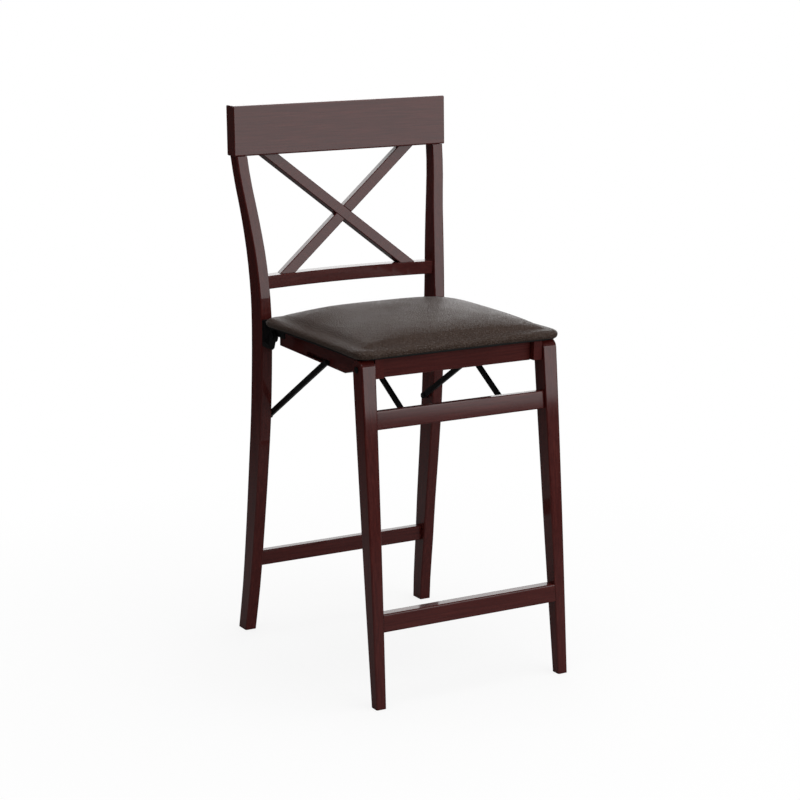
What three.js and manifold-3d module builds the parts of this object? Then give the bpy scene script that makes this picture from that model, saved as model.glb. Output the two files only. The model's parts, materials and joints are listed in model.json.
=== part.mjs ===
// Folding counter stool with an X-shaped back, an upholstered seat that tips up and
// front legs that swing in under it, limited by slotted steel stays.
// Millimetres, +Z up, front towards -Y, origin on the floor under the middle of the stool.

import * as THREE from "three";
import { mergeVertices } from "three/addons/utils/BufferGeometryUtils.js";
import Module from "manifold-3d";

const wasm = await Module();
wasm.setup();

// Clearances and edge sizes shared by all pieces
const fit = 0.3;
const overrun = 5;
const mergeReach = 0.001;
const edgeRadius = 2.5;
const screwSides = 20;
const cornerSteps = 3;
const roundSteps = 12;

// Overall sizes
const overallHeight = 940;
const kneeHeight = 560;

// Back posts
const postWidth = 21;
const postFootDepth = 29;
const postKneeDepth = 41;
const postTopDepth = 26.5;
const postKneeY = 179;
const postKneeOuter = 183.6;
const postFootRake = 56.7;
const postTopRake = 38.6;
const postFootSplay = 8.7;
const postTopSplay = 20.9;
const postLowerLevels = 14;
const postUpperLevels = 11;
// Rows: share of the height, of the rake, of the change in depth, of the splay
const postLowerShares = [
  [0, 1, 0, 1],
  [0.1, 0.865, 0.16, 0.67],
  [0.18, 0.741, 0.3, 0.53],
  [0.36, 0.529, 0.54, 0.28],
  [0.54, 0.312, 0.83, 0.16],
  [0.71, 0.132, 1, 0.05],
  [0.89, 0.026, 1, 0],
  [1, 0, 1, 0],
];
const postUpperShares = [
  [0, 0, 0, 0],
  [0.17, 0.034, 0.19, 0.043],
  [0.41, 0.207, 0.43, 0.206],
  [0.64, 0.484, 0.8, 0.498],
  [0.86, 0.795, 0.97, 0.866],
  [1, 1, 1, 1],
];

// Crest rail on top of the posts
const crestWidth = 416;
const crestHeight = 85.6;
const crestThickness = 30;
const crestLean = 2.2;
const crestFrontLip = 0.6;

// Lower back rail, bowed backwards
const lowerRailHeight = 23;
const lowerRailThickness = 24;
const lowerRailBottom = 627;
const lowerRailRecess = 6.2;
const lowerRailBow = 15;

// Crossed bars of the back
const barWidth = 19;
const barThickness = 18;
const barTopReach = 137;
const barBottomReach = 118;
const barRecess = 11.5;
const barFootSetBack = 2;
const barOverrun = 50;

// Rear stretcher
const stretcherHeight = 27;
const stretcherThickness = 16;
const stretcherBottom = 120;
const stretcherRecess = 10.5;

// Front legs
const legOuter = 185.5;
const legFootWidth = 18;
const legTopWidth = 26.4;
const legFootDepth = 19;
const legFootY = -240.7;
const legPivotY = -186.3;
const legPivotZ = 553.8;
const legTopRadius = 15.8;
const legLevels = 10;
const legRoundLevels = 7;
// Rows: share of the height to the pivot, share of the change in depth
const legDepthShares = [
  [0, 0],
  [0.19, 0.36],
  [0.3, 0.54],
  [0.47, 0.77],
  [0.65, 0.9],
  [0.82, 1],
  [1, 1],
];

// Upper front rail and footrest between the front legs
const frontRailHeight = 30;
const frontRailThickness = 13;
const frontRailBottom = 455;
const frontRailRecess = 6.4;
const footrestHeight = 30;
const footrestThickness = 19;
const footrestBottom = 126.3;
const footrestRecess = 0.8;

// Seat frame
const boardBottom = 570.5;
const boardThickness = 8;
const sideRailThickness = 16;
const sideRailBottom = 526;
const sideRailFrontY = -198;
const sideRailRearY = 170;
const sideRailFrontOuter = 158.6;
const sideRailRearOuter = 142.8;
const reliefStartY = -86;
const reliefEndY = -123;
const reliefRise = 11.5;
const apronBottom = 536.5;
const apronFrontY = -187.5;
const apronThickness = 18;
const rearSeatRailThickness = 16;
const rearSeatRailHeight = 25;
const rearSeatRailY = 142;
const railSlotWidth = 7;
const railSlotDepth = 8;
const railSlotTravel = 84;

// Cushion, with its board let into the underside
const cushionHalfWidth = 195;
const cushionFrontY = -211;
const cushionRearY = 142;
const cushionCorner = 26;
const cushionDrawIn = 3;
const cushionRimHeight = 20;
const cushionCrown = 25;
const cushionRim = 10;
const cushionCornerPoints = 7;
const cushionSidePoints = 7;
// Rows: share of the rim height, inset in shares of the rim
const cushionRimShares = [
  [0, 0.45],
  [0.1, 0.2],
  [0.3, 0.03],
  [0.5, 0],
  [0.68, 0.2],
  [0.83, 0.65],
  [0.94, 1.35],
];
const cushionCrownInset = 14;
const cushionCrownPower = 4;
const cushionCrownShares = [0.98, 0.93, 0.86, 0.75, 0.6, 0.4, 0.2];

// Seat hinge at the back: post bracket, seat ear and rivet
const hingeY = 119;
const hingeZ = 557;
const hingePlate = 2.5;
const hingeOuter = 183;
const hingeFlangeHeight = 46;
const hingeFlangeBottom = 531;
const hingeEyeRadius = 12.3;
const hingeArmRear = 17.5;
const hingeArmHeight = 8;
const hingeArmReach = 15;
const hingeArmFrontTop = 12;
const hingeArmFrontLow = 3;
const earFrontY = 80;
const earFlangeInner = 163.5;
const hingeRivetRadius = 4;
const rivetHeadRadius = 7;
const rivetHeadHeight = 2;
const bracketScrewRadius = 2;
const bracketScrewHead = 3.8;
const bracketScrewLength = 16;
const bracketScrewInset = 9;
const screwHeadHeight = 1.6;

// Leg bolts and their threaded sleeves
const legBoltRadius = 4;
const legBoltHead = 5.2;
const legBoltHeadHeight = 2;
const boltSleeveRadius = 6;
const boltSleeveLength = 13;

// Stays
const stayWidth = 9.8;
const stayThickness = 5;
const rearMeetY = -26;
const rearMeetZ = 533;
const frontMeetY = -49.8;
const frontMeetZ = 548;
const rearStayX = 157;
const rearStayFootZ = 401;
const frontStayX = 94;
const frontStayFootGap = 9.2;
const frontStayRise = 0.6032;
const stayPinRadius = 3;
const stayPinHead = 5.4;
const stayPinHeadHeight = 1.4;
const rearStayScrewDepth = 12;
const trackPlate = 2;
const trackHeight = 32;
const trackFlange = 14;
const trackFrontY = -66;
const trackRearY = 66;
const trackSlotMargin = 9;
const trackSlotWidth = 10;
const clipPlate = 2;
const clipBaseHeight = 22;

// Materials
const wood = (name) =>
  new THREE.MeshStandardMaterial({ name, color: 0x3a1a17, roughness: 0.35, metalness: 0 });
const steel = (name) =>
  new THREE.MeshStandardMaterial({ name, color: 0x15130f, roughness: 0.4, metalness: 0.6 });
const vinyl = (name) =>
  new THREE.MeshStandardMaterial({ name, color: 0x4a423c, roughness: 0.5, metalness: 0 });
const ply = (name) =>
  new THREE.MeshStandardMaterial({ name, color: 0x1c1716, roughness: 0.85, metalness: 0 });
const woodFinish = wood("espresso_wood");
const steelFinish = steel("black_steel");
const vinylFinish = vinyl("brown_vinyl");
const plyFinish = ply("seat_board");

// Smooth value between the rows of a table of shares
function share(rows, at, column) {
  const last = rows.length - 1;
  let i = 0;
  while (i < last - 1 && at > rows[i + 1][0]) i += 1;
  const slope = (k) => {
    const a = rows[Math.max(k - 1, 0)];
    const b = rows[Math.min(k + 1, last)];
    return (b[column] - a[column]) / (b[0] - a[0]);
  };
  const [p, q] = [rows[i], rows[i + 1]];
  const span = q[0] - p[0];
  const t = (at - p[0]) / span;
  const u = 1 - t;
  const ends = p[column] * (1 + 2 * t) * u * u + q[column] * (1 + 2 * u) * t * t;
  const turns = slope(i) * t * u * u - slope(i + 1) * u * t * t;
  return ends + turns * span;
}

// Solids from and to closed geometry
function toSolid(geometry) {
  const bare = new THREE.BufferGeometry();
  bare.setAttribute("position", geometry.getAttribute("position").clone());
  bare.setIndex(geometry.index);
  const merged = mergeVertices(bare, mergeReach);
  return new wasm.Manifold(
    new wasm.Mesh({
      numProp: 3,
      vertProperties: new Float32Array(merged.getAttribute("position").array),
      triVerts: new Uint32Array(merged.index.array),
    }),
  );
}

function fromSolid(solid) {
  const mesh = solid.getMesh();
  const geometry = new THREE.BufferGeometry();
  geometry.setAttribute("position", new THREE.BufferAttribute(mesh.vertProperties, 3));
  geometry.setIndex(new THREE.BufferAttribute(mesh.triVerts, 1));
  geometry.computeVertexNormals();
  return geometry;
}

function cut(body, ...tools) {
  let solid = toSolid(body);
  for (const tool of tools) solid = solid.subtract(toSolid(tool));
  return fromSolid(solid);
}

function join(...pieces) {
  let solid = toSolid(pieces[0]);
  for (const piece of pieces.slice(1)) solid = solid.add(toSolid(piece));
  return fromSolid(solid);
}

function keep(body, region) {
  return fromSolid(toSolid(body).intersect(toSolid(region)));
}

// A closed skin over rings of points, from the first ring to the last
function skin(rings) {
  const count = rings[0].length;
  const points = [];
  const faces = [];
  const middle = (ring) => {
    const sum = ring.reduce((a, p) => a.add(p), new THREE.Vector3());
    return sum.divideScalar(count);
  };
  for (const ring of rings) for (const p of ring) points.push(p.x, p.y, p.z);
  for (let r = 0; r + 1 < rings.length; r += 1) {
    for (let i = 0; i < count; i += 1) {
      const a = r * count + i;
      const b = r * count + ((i + 1) % count);
      faces.push(a, b, b + count, a, b + count, a + count);
    }
  }
  const low = middle(rings[0]);
  const high = middle(rings[rings.length - 1]);
  const lowIndex = rings.length * count;
  points.push(low.x, low.y, low.z, high.x, high.y, high.z);
  const top = (rings.length - 1) * count;
  for (let i = 0; i < count; i += 1) {
    const next = (i + 1) % count;
    faces.push(lowIndex, next, i, lowIndex + 1, top + i, top + next);
  }
  const geometry = new THREE.BufferGeometry();
  geometry.setAttribute("position", new THREE.Float32BufferAttribute(points, 3));
  geometry.setIndex(faces);
  return geometry;
}

// Level ring of a rounded rectangle, anticlockwise seen from above
function rectangleRing(x, y, z, halfX, halfY, radius) {
  const r = Math.min(radius, halfX, halfY);
  const ring = [];
  for (let quarter = 0; quarter < 4; quarter += 1) {
    const sx = quarter === 0 || quarter === 3 ? 1 : -1;
    const sy = quarter < 2 ? 1 : -1;
    for (let k = 0; k <= cornerSteps; k += 1) {
      const angle = ((quarter + k / cornerSteps) * Math.PI) / 2;
      const px = x + sx * (halfX - r) + r * Math.cos(angle);
      const py = y + sy * (halfY - r) + r * Math.sin(angle);
      ring.push(new THREE.Vector3(px, py, z));
    }
  }
  return ring;
}

// Outline with rounded corners through the given points
function roundedShape(corners, radius) {
  const shape = new THREE.Shape();
  const points = corners.map(([u, v]) => new THREE.Vector2(u, v));
  points.forEach((p, i) => {
    const before = points[(i + points.length - 1) % points.length];
    const after = points[(i + 1) % points.length];
    const enter = p.clone().add(before.clone().sub(p).setLength(radius));
    const leave = p.clone().add(after.clone().sub(p).setLength(radius));
    if (i === 0) shape.moveTo(enter.x, enter.y);
    else shape.lineTo(enter.x, enter.y);
    shape.quadraticCurveTo(p.x, p.y, leave.x, leave.y);
  });
  shape.closePath();
  return shape;
}

// Outline in the Y-Z plane, extruded along X from one x to another
function extrudeAcross(shape, fromX, toX, bevel = 0, steps = cornerSteps) {
  const geometry = new THREE.ExtrudeGeometry(shape, {
    depth: Math.abs(toX - fromX) - 2 * bevel,
    curveSegments: steps,
    bevelEnabled: bevel > 0,
    bevelThickness: bevel,
    bevelSize: bevel,
    bevelOffset: -bevel,
    bevelSegments: 2,
  });
  const turn = new THREE.Matrix4().makeBasis(
    new THREE.Vector3(0, 1, 0),
    new THREE.Vector3(0, 0, 1),
    new THREE.Vector3(1, 0, 0),
  );
  geometry.applyMatrix4(turn);
  return geometry.translate(Math.min(fromX, toX) + bevel, 0, 0);
}

// Outline in the X-Y plane, extruded upwards
function extrudeUp(shape, fromZ, toZ, bevel = 0) {
  const geometry = new THREE.ExtrudeGeometry(shape, {
    depth: toZ - fromZ - 2 * bevel,
    curveSegments: roundSteps,
    bevelEnabled: bevel > 0,
    bevelThickness: bevel,
    bevelSize: bevel,
    bevelOffset: -bevel,
    bevelSegments: 2,
  });
  return geometry.translate(0, 0, fromZ + bevel);
}

function block(fromX, toX, fromY, toY, fromZ, toZ) {
  const size = [Math.abs(toX - fromX), Math.abs(toY - fromY), Math.abs(toZ - fromZ)];
  const geometry = new THREE.BoxGeometry(...size);
  return geometry.translate((fromX + toX) / 2, (fromY + toY) / 2, (fromZ + toZ) / 2);
}

// Round piece along X, between two x values
function roundAcross(fromX, toX, y, z, radius, sides = screwSides) {
  const geometry = new THREE.CylinderGeometry(radius, radius, Math.abs(toX - fromX), sides);
  return geometry.rotateZ(Math.PI / 2).translate((fromX + toX) / 2, y, z);
}

// Back posts
function postAt(z) {
  const low = z <= kneeHeight;
  const topZ = overallHeight - crestHeight;
  const rows = low ? postLowerShares : postUpperShares;
  const at = low ? z / kneeHeight : (z - kneeHeight) / (topZ - kneeHeight);
  const rake = (low ? postFootRake : postTopRake) * share(rows, at, 1);
  const splay = (low ? postFootSplay : postTopSplay) * share(rows, at, 3);
  const [fromDepth, toDepth] = low
    ? [postFootDepth, postKneeDepth]
    : [postKneeDepth, postTopDepth];
  const depth = fromDepth + (toDepth - fromDepth) * share(rows, at, 2);
  return { y: postKneeY + rake, depth, outer: postKneeOuter + splay };
}

function postHeights() {
  const topZ = overallHeight - crestHeight - fit;
  const heights = [];
  for (let i = 0; i < postLowerLevels; i += 1) heights.push((kneeHeight * i) / postLowerLevels);
  for (let i = 0; i <= postUpperLevels; i += 1) {
    heights.push(kneeHeight + ((topZ - kneeHeight) * i) / postUpperLevels);
  }
  return heights;
}

function postSkin(side, swell = 0, depthSwell = swell) {
  const heights = postHeights();
  const rings = heights.map((z, i) => {
    const at = postAt(z);
    const x = side * (at.outer - postWidth / 2);
    const last = i === heights.length - 1 ? swell : 0;
    const level = i === 0 ? z - swell : z + last;
    const halfDepth = at.depth / 2 + depthSwell;
    return rectangleRing(x, at.y, level, postWidth / 2 + swell, halfDepth, edgeRadius);
  });
  return skin(rings);
}

function post(side) {
  const hole = postAt(rearStayFootZ);
  const inner = hole.outer - postWidth;
  const screw = roundAcross(
    side * (inner - overrun),
    side * (inner + rearStayScrewDepth + fit),
    hole.y,
    rearStayFootZ,
    stayPinRadius + fit,
  );
  const screwHoles = bracketScrewHeights().map((z) => bracketScrewHole(side, z));
  return cut(postSkin(side), screw, ...screwHoles);
}

// Cross members of the back
function crestRail() {
  const bottom = overallHeight - crestHeight;
  const front = postAt(bottom).y - postTopDepth / 2 - crestFrontLip;
  const corners = [
    [front, bottom],
    [front + crestThickness, bottom],
    [front + crestThickness + crestLean, overallHeight],
    [front + crestLean, overallHeight],
  ];
  const half = crestWidth / 2;
  return extrudeAcross(roundedShape(corners, edgeRadius), -half, half, edgeRadius / 2);
}

// Front face of the lower back rail where it meets the posts
function lowerRailEndY() {
  const at = postAt(lowerRailBottom + lowerRailHeight / 2);
  return at.y - at.depth / 2 + lowerRailRecess;
}

function lowerRailFrontY(x) {
  const at = postAt(lowerRailBottom + lowerRailHeight / 2);
  const reach = at.outer - postWidth;
  return lowerRailEndY() + lowerRailBow * (1 - (x / reach) ** 2);
}

function lowerBackRail() {
  const reach = postAt(lowerRailBottom + lowerRailHeight / 2).outer - postWidth / 2;
  const end = lowerRailFrontY(reach);
  const middle = 2 * lowerRailFrontY(0) - end;
  const shape = new THREE.Shape();
  shape.moveTo(-reach, end);
  shape.quadraticCurveTo(0, middle, reach, end);
  shape.lineTo(reach, end + lowerRailThickness);
  shape.quadraticCurveTo(0, middle + lowerRailThickness, -reach, end + lowerRailThickness);
  shape.closePath();
  const top = lowerRailBottom + lowerRailHeight;
  const rail = extrudeUp(shape, lowerRailBottom, top, edgeRadius / 2);
  const posts = [-1, 1].map((side) => postSkin(side, fit, lowerRailThickness));
  return cut(rail, ...posts);
}

// Crossed bars: one outline in the leaning plane of the back, mirrored for the other bar
function barPlane() {
  const topZ = overallHeight - crestHeight;
  const bottomZ = lowerRailBottom + lowerRailHeight;
  const crestFront = postAt(topZ).y - postTopDepth / 2 - crestFrontLip;
  const topY = crestFront + barRecess + barThickness / 2;
  const railMiddle = lowerRailFrontY(barBottomReach) + lowerRailThickness / 2;
  const bottomY = railMiddle + barFootSetBack;
  return { topZ, bottomZ, topY, bottomY, lean: Math.atan2(topY - bottomY, topZ - bottomZ) };
}

function barPrism(side, halfWidth, fromDepth, toDepth, bevel = 0) {
  const plane = barPlane();
  const length = Math.hypot(plane.topZ - plane.bottomZ, plane.topY - plane.bottomY);
  const along = new THREE.Vector2(-side * (barTopReach + barBottomReach), length).normalize();
  const across = new THREE.Vector2(along.y, -along.x).multiplyScalar(halfWidth);
  const foot = new THREE.Vector2(side * barBottomReach, 0).addScaledVector(along, -barOverrun);
  const head = new THREE.Vector2(-side * barTopReach, length).addScaledVector(along, barOverrun);
  const corners = [
    foot.clone().sub(across),
    foot.clone().add(across),
    head.clone().add(across),
    head.clone().sub(across),
  ];
  const shape = new THREE.Shape(corners);
  const geometry = new THREE.ExtrudeGeometry(shape, {
    depth: toDepth - fromDepth - 2 * bevel,
    bevelEnabled: bevel > 0,
    bevelThickness: bevel,
    bevelSize: bevel,
    bevelOffset: -bevel,
    bevelSegments: 2,
  });
  geometry.translate(0, 0, fromDepth + bevel);
  geometry.rotateX(Math.PI / 2 - plane.lean);
  return geometry.translate(0, plane.bottomY, plane.bottomZ);
}

function crossedBar(side) {
  const plane = barPlane();
  const half = barThickness / 2;
  const bar = barPrism(side, barWidth / 2, -half, half, edgeRadius / 2);
  const notchFrom = side > 0 ? -half - overrun : -fit / 2;
  const notchTo = side > 0 ? fit / 2 : half + overrun;
  const notch = barPrism(-side, barWidth / 2 + fit, notchFrom, notchTo);
  const wide = postAt(plane.topZ).outer - postWidth / 2;
  const deep = plane.topY + crestWidth;
  const slab = block(-wide, wide, 0, deep, plane.bottomZ + fit, plane.topZ - fit);
  return keep(cut(bar, notch, postSkin(-1, fit), postSkin(1, fit)), slab);
}

function rearStretcher() {
  const at = postAt(stretcherBottom + stretcherHeight / 2);
  const front = at.y - at.depth / 2 + stretcherRecess;
  const corners = [
    [front, stretcherBottom],
    [front + stretcherThickness, stretcherBottom],
    [front + stretcherThickness, stretcherBottom + stretcherHeight],
    [front, stretcherBottom + stretcherHeight],
  ];
  const reach = at.outer - postWidth / 2;
  const bar = extrudeAcross(roundedShape(corners, edgeRadius), -reach, reach);
  return cut(bar, postSkin(-1, fit), postSkin(1, fit));
}

// Front legs
function legAt(z) {
  const at = Math.min(z / legPivotZ, 1);
  const y = legFootY + (legPivotY - legFootY) * at;
  const depth = legFootDepth + (2 * legTopRadius - legFootDepth) * share(legDepthShares, at, 1);
  const width = legFootWidth + (legTopWidth - legFootWidth) * at;
  return { y, depth, width };
}

function legSkin(side, swell = 0) {
  const rings = [];
  const add = (z, y, halfDepth, width) => {
    const x = side * (legOuter - width / 2);
    rings.push(rectangleRing(x, y, z, width / 2 + swell, halfDepth + swell, edgeRadius));
  };
  for (let i = 0; i <= legLevels; i += 1) {
    const z = (legPivotZ * i) / legLevels;
    const at = legAt(z);
    add(i === 0 ? z - swell : z, at.y, at.depth / 2, at.width);
  }
  for (let i = 1; i <= legRoundLevels; i += 1) {
    const angle = (Math.PI / 2) * (i / (legRoundLevels + 1));
    const z = legPivotZ + legTopRadius * Math.sin(angle);
    add(z, legPivotY, legTopRadius * Math.cos(angle), legTopWidth);
  }
  return skin(rings);
}

function frontLeg(side) {
  const hole = roundAcross(
    side * (legOuter - legTopWidth - overrun),
    side * (legOuter + overrun),
    legPivotY,
    legPivotZ,
    legBoltRadius + fit,
  );
  return cut(legSkin(side), hole);
}

// Rails between the front legs, leaning with them
function legRail(bottom, height, thickness, recess) {
  const lean = (legPivotY - legFootY) / legPivotZ;
  const mid = bottom + height / 2;
  const at = legAt(mid);
  const front = at.y - at.depth / 2 + recess;
  const shift = (lean * height) / 2;
  const corners = [
    [front - shift, bottom],
    [front + thickness - shift, bottom],
    [front + thickness + shift, bottom + height],
    [front + shift, bottom + height],
  ];
  const reach = legOuter - at.width / 2;
  const bar = extrudeAcross(roundedShape(corners, edgeRadius), -reach, reach);
  return cut(bar, legSkin(-1, fit), legSkin(1, fit));
}

function frontRail() {
  return legRail(frontRailBottom, frontRailHeight, frontRailThickness, frontRailRecess);
}

function footrest() {
  return legRail(footrestBottom, footrestHeight, footrestThickness, footrestRecess);
}

// Seat frame
function sideRailOuterAt(y) {
  const at = (y - sideRailFrontY) / (sideRailRearY - sideRailFrontY);
  return sideRailFrontOuter + (sideRailRearOuter - sideRailFrontOuter) * at;
}

function sideRail(side) {
  const top = boardBottom - fit;
  const plan = new THREE.Shape();
  const ends = [
    [sideRailFrontY, sideRailOuterAt(sideRailFrontY)],
    [sideRailRearY, sideRailOuterAt(sideRailRearY)],
  ];
  const ring = [
    [side * ends[0][1], ends[0][0]],
    [side * ends[1][1], ends[1][0]],
    [side * (ends[1][1] - sideRailThickness), ends[1][0]],
    [side * (ends[0][1] - sideRailThickness), ends[0][0]],
  ];
  if (side < 0) ring.reverse();
  ring.forEach(([x, y], i) => (i === 0 ? plan.moveTo(x, y) : plan.lineTo(x, y)));
  plan.closePath();
  const rail = extrudeUp(plan, sideRailBottom, top, edgeRadius / 2);
  const relief = new THREE.Shape();
  relief.moveTo(sideRailFrontY - overrun, sideRailBottom - overrun);
  relief.lineTo(reliefStartY, sideRailBottom - overrun);
  relief.lineTo(reliefStartY, sideRailBottom);
  relief.lineTo(reliefEndY, sideRailBottom + reliefRise);
  relief.lineTo(sideRailFrontY - overrun, sideRailBottom + reliefRise);
  relief.closePath();
  const outer = side * (sideRailFrontOuter + overrun);
  const reliefCut = extrudeAcross(relief, 0, outer);
  const half = railSlotWidth / 2;
  const slotStart = rearMeetY - fit;
  const slotEnd = slotStart + railSlotTravel;
  const slotFace = side * (sideRailOuterAt(slotEnd) - railSlotDepth);
  const slotBox = block(
    slotFace,
    outer,
    slotStart,
    slotEnd,
    rearMeetZ - half,
    rearMeetZ + half,
  );
  const slotEnds = [slotStart, slotEnd].map((y) =>
    roundAcross(slotFace, outer, y, rearMeetZ, half),
  );
  const sleeve = roundAcross(
    side * (boltInnerX() - fit),
    outer,
    legPivotY,
    legPivotZ,
    boltSleeveRadius + fit,
  );
  return cut(rail, reliefCut, slotBox, ...slotEnds, sleeve);
}

function frontApron() {
  const reach = sideRailOuterAt(apronFrontY + apronThickness) - sideRailThickness - fit;
  const corners = [
    [apronFrontY, apronBottom],
    [apronFrontY + apronThickness, apronBottom],
    [apronFrontY + apronThickness, boardBottom - fit],
    [apronFrontY, boardBottom - fit],
  ];
  return extrudeAcross(roundedShape(corners, edgeRadius / 2), -reach, reach);
}

function rearSeatRail() {
  const rear = rearSeatRailY;
  const reach = sideRailOuterAt(rear) - sideRailThickness - fit;
  const top = boardBottom - fit;
  const corners = [
    [rear - rearSeatRailThickness, top - rearSeatRailHeight],
    [rear, top - rearSeatRailHeight],
    [rear, top],
    [rear - rearSeatRailThickness, top],
  ];
  return extrudeAcross(roundedShape(corners, edgeRadius / 2), -reach, reach);
}

// Ring of the cushion's outline, drawn in between its corners
function cushionRing(inset, z, scale = 1) {
  const midY = (cushionFrontY + cushionRearY) / 2;
  const halfY = (cushionRearY - cushionFrontY) / 2 - inset;
  const halfX = cushionHalfWidth - inset;
  const corner = Math.max(cushionCorner - inset, cushionCorner / 4);
  const outline = [];
  const signs = [
    [1, 1],
    [-1, 1],
    [-1, -1],
    [1, -1],
  ];
  signs.forEach(([sx, sy], quarter) => {
    const cx = sx * (halfX - corner);
    const cy = sy * (halfY - corner);
    for (let k = 0; k <= cushionCornerPoints; k += 1) {
      const angle = ((quarter + k / cushionCornerPoints) * Math.PI) / 2;
      outline.push([cx + corner * Math.cos(angle), cy + corner * Math.sin(angle)]);
    }
    const [ex, ey] = outline[outline.length - 1];
    const [nx, ny] = signs[(quarter + 1) % signs.length];
    const next = quarter % 2 === 0
      ? [nx * (halfX - corner), ny * halfY]
      : [nx * halfX, ny * (halfY - corner)];
    for (let k = 1; k < cushionSidePoints; k += 1) {
      const t = k / cushionSidePoints;
      outline.push([ex + (next[0] - ex) * t, ey + (next[1] - ey) * t]);
    }
  });
  return outline.map(([x, y]) => {
    const alongX = 1 - (x / halfX) ** 2;
    const alongY = 1 - (y / halfY) ** 2;
    const px = x - Math.sign(x) * cushionDrawIn * Math.max(alongY, 0) * (x / halfX) ** 2;
    const py = y - Math.sign(y) * cushionDrawIn * Math.max(alongX, 0) * (y / halfY) ** 2;
    return new THREE.Vector3(px * scale, midY + py * scale, z);
  });
}

// Height of the crown over the rim, none at the border and full in the middle
function crownAt(point) {
  const midY = (cushionFrontY + cushionRearY) / 2;
  const halfX = cushionHalfWidth - cushionCrownInset;
  const halfY = (cushionRearY - cushionFrontY) / 2 - cushionCrownInset;
  const across = Math.abs(point.x / halfX) ** cushionCrownPower;
  const along = Math.abs((point.y - midY) / halfY) ** cushionCrownPower;
  return cushionCrown * (1 - across) * (1 - along);
}

function seatCushion() {
  const pocket = boardBottom + boardThickness + fit;
  const rim = boardBottom + cushionRimHeight;
  const rings = [cushionRing(cushionRim, pocket), cushionRing(cushionRim, boardBottom)];
  for (const [heightShare, insetShare] of cushionRimShares) {
    const z = boardBottom + cushionRimHeight * heightShare;
    rings.push(cushionRing(cushionRim * insetShare, z));
  }
  for (const scale of cushionCrownShares) {
    const ring = cushionRing(cushionCrownInset, rim, scale);
    for (const point of ring) point.z += crownAt(point);
    rings.push(ring);
  }
  const geometry = skin(rings);
  const middle = geometry.getAttribute("position");
  middle.setZ(middle.count - 1, rim + cushionCrown);
  return geometry;
}

function seatBoard() {
  const rings = [
    cushionRing(cushionRim + fit, boardBottom),
    cushionRing(cushionRim + fit, boardBottom + boardThickness),
  ];
  return skin(rings);
}

// Seat hinge
function bracketScrewHeights() {
  const low = hingeFlangeBottom + bracketScrewInset;
  const high = hingeFlangeBottom + hingeFlangeHeight - bracketScrewInset;
  return [low, high];
}

function bracketScrewX() {
  return postKneeOuter - postWidth / 2 - fit;
}

function flangeRearY() {
  const heights = [hingeFlangeBottom, hingeFlangeBottom + hingeFlangeHeight, kneeHeight];
  const fronts = heights.map((z) => postAt(z).y - postAt(z).depth / 2);
  return Math.min(...fronts) - fit;
}

function roundFromFront(x, z, fromY, toY, radius) {
  const geometry = new THREE.CylinderGeometry(radius, radius, toY - fromY, screwSides);
  return geometry.translate(x, (fromY + toY) / 2, z);
}

function bracketScrewHole(side, z) {
  const from = flangeRearY() - overrun;
  const to = flangeRearY() + bracketScrewLength + fit;
  return roundFromFront(side * bracketScrewX(), z, from, to, bracketScrewRadius + fit);
}

function bracketScrew(side, z) {
  const flangeFront = flangeRearY() - hingePlate;
  const headRear = flangeFront - fit;
  const x = side * bracketScrewX();
  const head = roundFromFront(x, z, headRear - screwHeadHeight, headRear, bracketScrewHead);
  const tail = flangeRearY() + bracketScrewLength;
  const shank = roundFromFront(x, z, headRear - screwHeadHeight / 2, tail, bracketScrewRadius);
  return join(head, shank);
}

function hingeBracket(side) {
  const rear = flangeRearY();
  const front = rear - hingePlate;
  const inner = postKneeOuter - postWidth + fit;
  const topZ = hingeFlangeBottom + hingeFlangeHeight;
  const flange = block(side * inner, side * hingeOuter, front, rear, hingeFlangeBottom, topZ);
  const cheekInner = side * (hingeOuter - hingePlate);
  const outer = side * hingeOuter;
  const armTop = hingeZ - hingeArmRear;
  const armLow = hingeFlangeBottom;
  const corners = [
    [hingeY - hingeArmFrontTop, hingeZ],
    [hingeY - hingeArmFrontLow, armLow + hingeArmHeight / 2],
    [hingeY + hingeArmFrontLow, armLow],
    [front + hingePlate / 2, armLow],
    [front + hingePlate / 2, armTop],
    [hingeY + hingeArmReach, armTop - hingeArmFrontLow],
    [hingeY + hingeArmFrontTop, hingeZ],
  ];
  const cheek = extrudeAcross(roundedShape(corners, fit), cheekInner, outer);
  const eye = roundAcross(cheekInner, outer, hingeY, hingeZ, hingeEyeRadius, screwSides * 2);
  const bore = roundAcross(
    side * (hingeOuter - overrun),
    side * (hingeOuter + overrun),
    hingeY,
    hingeZ,
    hingeRivetRadius + fit,
  );
  const holes = bracketScrewHeights().map((z) => bracketScrewHole(side, z));
  return cut(join(flange, cheek, eye), bore, ...holes);
}

function hingeEar(side) {
  const outer = hingeOuter - hingePlate - fit;
  const inner = outer - hingePlate;
  const top = boardBottom - fit;
  const plate = block(side * inner, side * outer, earFrontY, hingeY, hingeZ, top);
  const web = block(
    side * inner,
    side * outer,
    hingeY - hingeEyeRadius,
    hingeY + hingeEyeRadius,
    hingeZ,
    top,
  );
  const eye = roundAcross(side * inner, side * outer, hingeY, hingeZ, hingeEyeRadius, screwSides * 2);
  const flange = block(
    side * earFlangeInner,
    side * outer,
    earFrontY,
    hingeY + hingeEyeRadius,
    top - hingePlate,
    top,
  );
  const bore = roundAcross(
    side * (inner - overrun),
    side * (outer + overrun),
    hingeY,
    hingeZ,
    hingeRivetRadius + fit,
  );
  return cut(join(plate, web, eye, flange), bore);
}

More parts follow.
